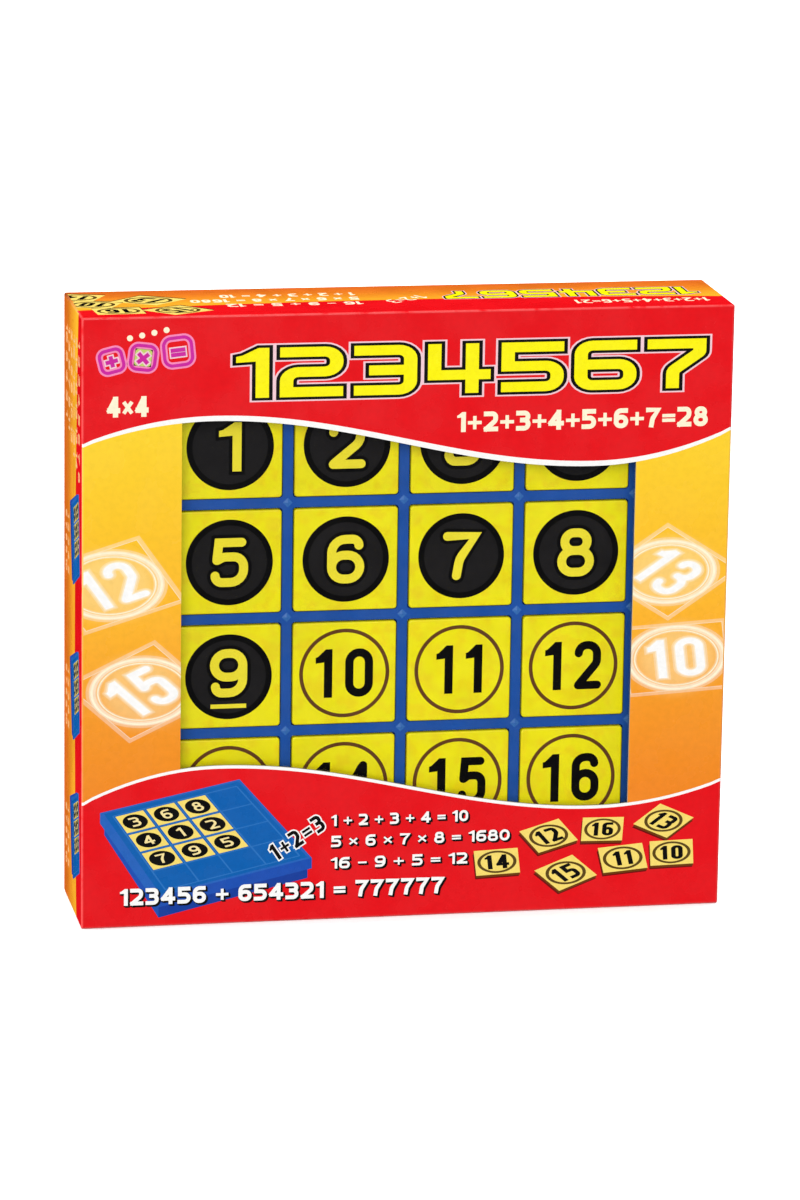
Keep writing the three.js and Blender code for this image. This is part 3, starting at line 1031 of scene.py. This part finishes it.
MARK = (
    # sign, centre x and y from the mark's middle, size and turn of each small square of the mark
    ("+", -12.6, -1.6, 9.6, 14),
    ("x", -1.2, -0.6, 10.4, -7),
    ("=", 11.4, 1.4, 12.0, 6),
)


def pictogram(art, x, y):
    """A small mark of three tilted squares with a sum sign each, under a rising row of dots."""
    for sign, dx, dy, size, turn in MARK:
        warp = moved(x + dx, y + dy, turn)
        half = size * 0.42
        outline = fillet([(sx * half, sy * half, half * 0.55) for sx, sy in CORNERS], True)
        art.stamp(ribbon(outline, 2.6, True), 1, "blush_deep", warp)
        art.stamp(ribbon(outline, 1.2, True), 2, "magenta", warp)
        if sign == "x":
            art.stamp([square(half - 1.2)], 1, "lime", warp)
        art.write(2, "blush", warp, sign, size * 0.62, 2.1, width=size * 0.5, grow=0.5)
        art.write(3, "magenta", warp, sign, size * 0.62, 2.1, width=size * 0.5)
    art.stamp([disc(x - 6 + 4.4 * i, y + 6.6 + 0.9 * i, 1.1, 16) for i in range(4)], 1, "cream")


SEQUENCES = (
    # text, left end, right end and height of its middle
    ("1 + 2 + 3 + 4 = 10", -27.3, 24.0, -76.0),
    ("5 x 6 x 7 x 8 = 1680", -27.3, 39.8, -84.0),
    ("16 - 9 + 5 = 12", -27.3, 24.0, -92.3),
)
LONG_SUM = ("123456 + 654321 = 777777", 6.4, 1.45)   # text, height and stroke
LONG_SUM_LENGTH = 121
LOOSE_TILES = (
    # label, centre x and z, turn and size
    ("12", 54.6, -85.0, 27, 16.6),
    ("16", 75.0, -83.2, -2, 15.6),
    ("13", 98.2, -80.9, -38, 16.4),
    ("14", 35.2, -94.3, 4, 16.6),
    ("15", 61.4, -99.6, 34, 17.2),
    ("11", 83.0, -94.7, 8, 17.0),
    ("10", 101.6, -93.3, 2, 16.4),
)
TRAY_CORNERS = ((-113.0, -69.8), (-61.6, -58.9), (-34.4, -90.0), (-91.3, -102.6))


def banner_signs(art):
    art.write(1, "cream", moved(64, 72.6), "1+2+3+4+5+6+7=28", 7.4, 1.75, length=93.5, gap=0.14)
    art.write(1, "cream", moved(-103.2, 81.2), "4x4", 7.6, 1.9, length=15.0)
    pictogram(art, -96.5, 99.6)


def ghost_tiles(art):
    for ghost in GHOSTS:
        ghost_tile(art, *ghost)


def loose_tiles(art):
    for tile in LOOSE_TILES:
        tile_picture(art, *tile)


def number_lines(art):
    for text, left, right, z in SEQUENCES:
        art.layered(((left + right) / 2, z), DROP_SHADOW, 3, text, 4.3, 0.92, length=right - left)
    art.layered((-45.1, -102.3), DROP_SHADOW, 9, *LONG_SUM, length=LONG_SUM_LENGTH)
    over_tray = (("white", 0.5, 0.0), ("black", 0.0, 0.0))
    art.layered((-40.0, -82.0, 33), over_tray, 9, "1+2=3", 6.6, 1.3, length=22, gap=0.36)


LONG_WALL_SPAN = (-FACE_W + FOLD, FACE_W - FOLD)
LONG_WALL_TILES = (
    # label, u, v, turn and size
    ("14", 117.3, -14.0, -20, 18),
    ("10", 112.5, 0.0, -20, 18),
    ("13", 91.6, -6.0, -38, 20),
    ("16", 105.0, 13.0, 3, 17.5),
    ("15", 83.6, 13.5, 36, 18.5),
)
LONG_WALL_LINES = (
    # u, v and length of each of the number lines
    (39.7, -11.0, 50),
    (45.7, -2.5, 62),
    (39.7, 6.5, 50),
)


def long_wall_art(art):
    """The art of the top wall, and of the bottom wall, which is taken to match it."""
    title(art, -64.5, -4.7, 0.545, 1, 1.38)
    art.write(1, "cream", moved(-88, 12.6), "1+2+3+4+5+6=21", 6.4, 1.05, length=50)
    art.write(1, "cream", moved(-2.5, 1.0, 34), "1+2=3", 6.4, 0.85, length=17)
    for (text, *_), (u, v, length) in zip(SEQUENCES, LONG_WALL_LINES):
        art.write(1, "cream", moved(u, v), text, 5.4, 1.15, length=length)
    art.span = LONG_WALL_SPAN
    for tile in LONG_WALL_TILES:
        tile_picture(art, *tile, 0.68)


SIDE_PICTURES = (-29.2, 29.5, 82.8)
SIDE_LINES = ("1 2 3 4 5 6 7 8", "9 10 11 12 13 14", "15 16 = 31",
              "2 4 6 8 10 12", "1 3 5 7 9 11", "16 8 4 2 1")


def side_wall_art(art):
    """The art of the left wall, and of the right wall, which is taken to match it."""
    for u in SIDE_PICTURES:
        corners = ((u - 18.3, 17.5), (u + 11, 20.5), (u + 18.5, 2.5), (u - 10.5, -3.0))
        tray_picture(art, corners, 2.0, 5.0, 0.094)
        for row, text in enumerate(("1 2 3 4 5", "6 7 8 9 10")):
            art.write(1, "side_text", moved(u + 6.4, -12.0 - 6 * row), text, 3.6, 0.75, length=23)
    for row, text in enumerate(SIDE_LINES):
        length = 52 - 3.5 * row
        art.write(1, "side_text", moved(length / 2 - 104, 17.5 - 6.9 * row), text, 4.2, 0.95, length=length)


LID_ART = (
    ("front_title_figures", FRONT, lambda art: title(art, 22.7, 92.5)),
    ("front_banner_signs", FRONT, banner_signs),
    ("front_ghost_tiles", FRONT, ghost_tiles),
    ("front_tray_picture", FRONT, lambda art: tray_picture(art, TRAY_CORNERS, 4.0, 8.0)),
    ("front_loose_tile_pictures", FRONT, loose_tiles),
    ("front_number_lines", FRONT, number_lines),
    ("top_wall_art", TOP, long_wall_art),
    ("bottom_wall_art", BOTTOM, long_wall_art),
    ("left_wall_art", LEFT, side_wall_art),
    ("right_wall_art", RIGHT, side_wall_art),
)


# ----- Base, collar, film -----

SHARP = math.radians(50)


def softened(node, name, body, slot, material, width, segments=2, back_room=0.0):
    """A copy of a CAD node with its sharp edges rounded, which stands for the node. Its rearmost face is set
    forward by back_room, where print goes on it."""
    work = bmesh.new()
    work.from_mesh(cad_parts[node].data)
    bmesh.ops.remove_doubles(work, verts=work.verts, dist=1e-6)
    rear = max(v.co.y for v in work.verts)
    for vertex in work.verts:
        if rear - vertex.co.y < 1e-6:
            vertex.co.y -= back_room * MM
    bmesh.ops.dissolve_limit(work, angle_limit=math.radians(0.3), use_dissolve_boundaries=False,
                             verts=work.verts, edges=work.edges)
    sharp = [e for e in work.edges if len(e.link_faces) == 2 and e.calc_face_angle(0) > SHARP]
    round_edges(work, sharp, width, segments)
    data = bpy.data.meshes.new(name)
    piece = link(name, data)
    shade(piece, work)
    data.materials.append(MATERIAL[material])
    data.polygons.foreach_set("material_index", [0] * len(data.polygons))
    return settle(piece, body, slot, node)


BACK_EDGE = 1.5       # plain board left round the print on the back
BACK_MARGIN = 3.0
BACK_PITCH = 22.0


def back_art():
    """The print on the back, taken to match the front: two red banners, and the finished number square."""
    low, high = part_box("base_tray")
    half_w, half_h = (high.x - low.x) / 2 / MM - BACK_EDGE, (high.z - low.z) / 2 / MM - BACK_EDGE
    art = Art(Plane((CENTRE.x, high.y - PRINT_ROOM * MM, CENTRE.z), (-1, 0, 0), (0, 0, 1)))
    art.stamp([block(-half_w, -half_h, half_w, half_h)], 1, "back_field")
    for wave, edge, stripe in ((TOP_WAVE, half_h, TOP_STRIPE), (BOTTOM_WAVE, -half_h, -BOTTOM_STRIPE)):
        straight = [(-half_w, edge), (half_w, edge)]
        wavy = wave_line(wave, stops(-half_w, half_w))[::-1]
        art.stamp([straight + wavy], 2, "white")
        art.stamp([straight + [(x, z + stripe) for x, z in wavy]], 3, "red")
    title(art, 0, 92, 0.8, 4)
    art.write(4, "cream", moved(0, -96), *LONG_SUM, length=LONG_SUM_LENGTH)
    art.stamp([square(BACK_PITCH * GRID / 2 + BACK_MARGIN)], 4, "blue_top")
    half = BACK_PITCH / 2 - 1
    for number in range(TILES):
        row, column = divmod(number, GRID)
        place = moved((column - 1.5) * BACK_PITCH, (1.5 - row) * BACK_PITCH)
        art.stamp([square(half)], 5, "picture_yellow", place)
        art.stamp(hoop(half * 0.82, 0.7), 6, "picture_ring", place)
        art.write(6, "black", place, str(number + 1), half, 1.6, width=half * 0.55, gap=0.35)
    art.settle("back_print", "base", "printed_card")


def make_base():
    softened("base_tray", "gift_base", "base", "plain_card", "lining", 0.35, back_room=PRINT_ROOM)
    back_art()
    softened("insert_collar", "card_collar", "base", "plain_card", "platform", 0.3)
    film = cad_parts["window_film"]
    film.data.materials.clear()
    film.data.materials.append(MATERIAL["film"])


# ----- Puzzle -----

STUD = 1.8            # half width of the stud on a crossing
STUD_HEIGHT = 0.25


def crossing_marks():
    """Small four-sided studs where the grid board's ribs cross, in a paler blue that is painted highlight."""
    marks = Art(cross_section("grid_board")[0])
    boxes = [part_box(f"tile_{number:02d}") for number in range(1, TILES + 1)]
    centres = [((low + high) / 2 - marks.plane.origin) / MM for low, high in boxes]
    xs = sorted({round(centre.x, 3) for centre in centres})
    zs = sorted({round(centre.z, 3) for centre in centres})
    pitch = xs[1] - xs[0]
    for x in [xs[0] - pitch / 2] + [v + pitch / 2 for v in xs]:
        for z in [zs[0] - pitch / 2] + [v + pitch / 2 for v in zs]:
            foot = [(x + STUD, z), (x, z + STUD), (x - STUD, z), (x, z - STUD)]
            points = [marks.plane.at(*p, lift) for lift in (-0.1, 0.02) for p in foot]
            points.append(marks.plane.at(x, z, STUD_HEIGHT))
            faces = [(i, (i + 1) % 4, (i + 1) % 4 + 4, i + 4) for i in range(4)]
            faces += [(i + 4, (i + 1) % 4 + 4, 8) for i in range(4)]
            # Painted highlight: the studs take a paler blue than the ribs.
            marks.add(points, faces + [(3, 2, 1, 0)], "tray_pale")
    marks.settle("grid_crossing_marks", "board", "tray_plastic")


LEAVES = 8
LEAF_EDGE = 0.15      # how far the leaves stay inside the booklet's box
SPINE_EDGE = 0.2


def make_booklet():
    """A booklet: pages with slightly uneven edges, and a printed cover."""
    front, width, thick, height = cross_section("puzzle_booklet")
    book = Art(upright(front.origin.x, front.origin.y + thick * MM, front.origin.z))
    pitch = thick / LEAVES
    for i in range(LEAVES):
        trim = 0.5 * abs(i - (LEAVES - 1) / 2) / LEAVES
        tall = height / 2 - LEAF_EDGE
        sheet = block(SPINE_EDGE - width / 2, -tall, width / 2 - trim, tall)
        book.plate(*merge([sheet]), i * pitch + 0.02, (i + 1) * pitch - 0.04, "paper")
    book.plane = upright(front.origin.x, front.origin.y + LAYER * 4 * MM, front.origin.z)
    book.stamp([block(2 - width / 2, height / 2 - 34, width / 2 - 2, height / 2 - 3)], 1, "red")
    title(book, 0, height / 2 - 18.5, 0.68, 2)
    for column in range(GRID):
        for row in range(GRID):
            book.stamp([square(6)], 1, "picture_yellow", moved(18 * column - 27, 12 - 16.2 * row))
    book.settle("booklet_leaves", "booklet", "booklet_paper", "puzzle_booklet")


def make_puzzle():
    softened("storage_box", "storage_tray", "storage", "tray_plastic", "tray", 0.6, 3)
    softened("grid_board", "grid_deck", "board", "tray_plastic", "tray", 0.5, 3)
    crossing_marks()
    make_booklet()


# ----- Tiles -----

TILE_CORNER = 1.2
TILE_ROUND = 0.55
TILE_STEPS = 72
DISC_SHARE = 0.835
RING_SHARE = 0.875


def rounded_square(half, corner, steps=4):
    points = []
    for quarter in range(4):
        turn = quarter * math.pi / 2
        cx = math.copysign(half - corner, math.cos(turn + math.pi / 4))
        cy = math.copysign(half - corner, math.sin(turn + math.pi / 4))
        for angle in (turn + math.pi / 2 * k / steps for k in range(steps + 1)):
            points.append((cx + corner * math.cos(angle), cy + corner * math.sin(angle)))
    return points


def tile_body(tile, half, thick):
    """A square block whose front and back edges are rounded, as stacked outlines."""
    levels = []
    for angle in (math.pi / 6 * k for k in range(4)):
        levels.append((TILE_ROUND * (1 - math.sin(angle)), -thick + TILE_ROUND * (1 - math.cos(angle))))
    levels += [(inset, -thick - lift) for inset, lift in reversed(levels)]
    rings = [rounded_square(half - inset, TILE_CORNER - inset * 0.6) for inset, _ in levels]
    count = len(rings[0])
    points = [tile.plane.at(u, v, lift) for ring, (_, lift) in zip(rings, levels) for u, v in ring]
    faces = [range(count)[::-1], range(count * (len(rings) - 1), count * len(rings))]
    for start in range(0, count * (len(rings) - 1), count):
        for i in range(count):
            a, b = start + i, start + (i + 1) % count
            faces.append((a, b, b + count, a + count))
    tile.add(points, faces, "tile")


def tile_print(tile, label, size):
    """Black disc with a yellow figure on tiles 1 to 9, its darker rim and the black round the figure being
    painted shade of a sunk disc, and a thin ring with black figures from 10 up.
    """
    if int(label) > SINGLE_DIGITS:
        tile.stamp(hoop(size * RING_SHARE / 2 - 0.7, 1.4, TILE_STEPS), 1, "tile_ring")
        tile.write(1, "tile_black", None, label, 18.4, 3.1, width=10.4, gap=0.46, shapes=CURLED, soft=True)
        return
    radius = size * DISC_SHARE / 2
    tile.stamp([disc(0, 0, radius - 0.5, TILE_STEPS)], 1, "tile_charcoal")
    # Painted shade: a darker ring at the disc's edge, where the wall of a sunk disc would shade it.
    tile.stamp(hoop(radius - 1.1, 2.2, TILE_STEPS), 2, "tile_black")
    place = moved(0, 1.4 if label == "9" else 0.0)
    figure = dict(text=label, height=18.2, stroke=3.3, width=13.8, shapes=CURLED, soft=True)
    # Painted shadow: black round the yellow figure, as if it stood up from the disc.
    tile.write(2, "tile_black", place, grow=1.3, **figure)
    tile.write(3, "tile_figure", place, **figure)
    if label == "9":
        tile.stamp([block(-6.6, -11.9, 6.6, -10.3)], 3, "tile_figure")


def make_tiles():
    for number in range(1, TILES + 1):
        node = f"tile_{number:02d}"
        front, size, depth, _ = cross_section(node)
        tile = Art(upright(front.origin.x, front.origin.y + PRINT_ROOM * MM, front.origin.z))
        tile_body(tile, size / 2, depth - PRINT_ROOM)
        tile_print(tile, str(number), size)
        tile.settle(f"number_{node}", node, "tile_plastic", node)


# ----- Everything -----

make_camera()
make_light()
make_floor()
make_lid()
for art_name, art_plane, draw in LID_ART:
    wall_art = Art(art_plane)
    draw(wall_art)
    wall_art.settle(art_name, "lid", "printed_card")
make_base()
make_puzzle()
make_tiles()
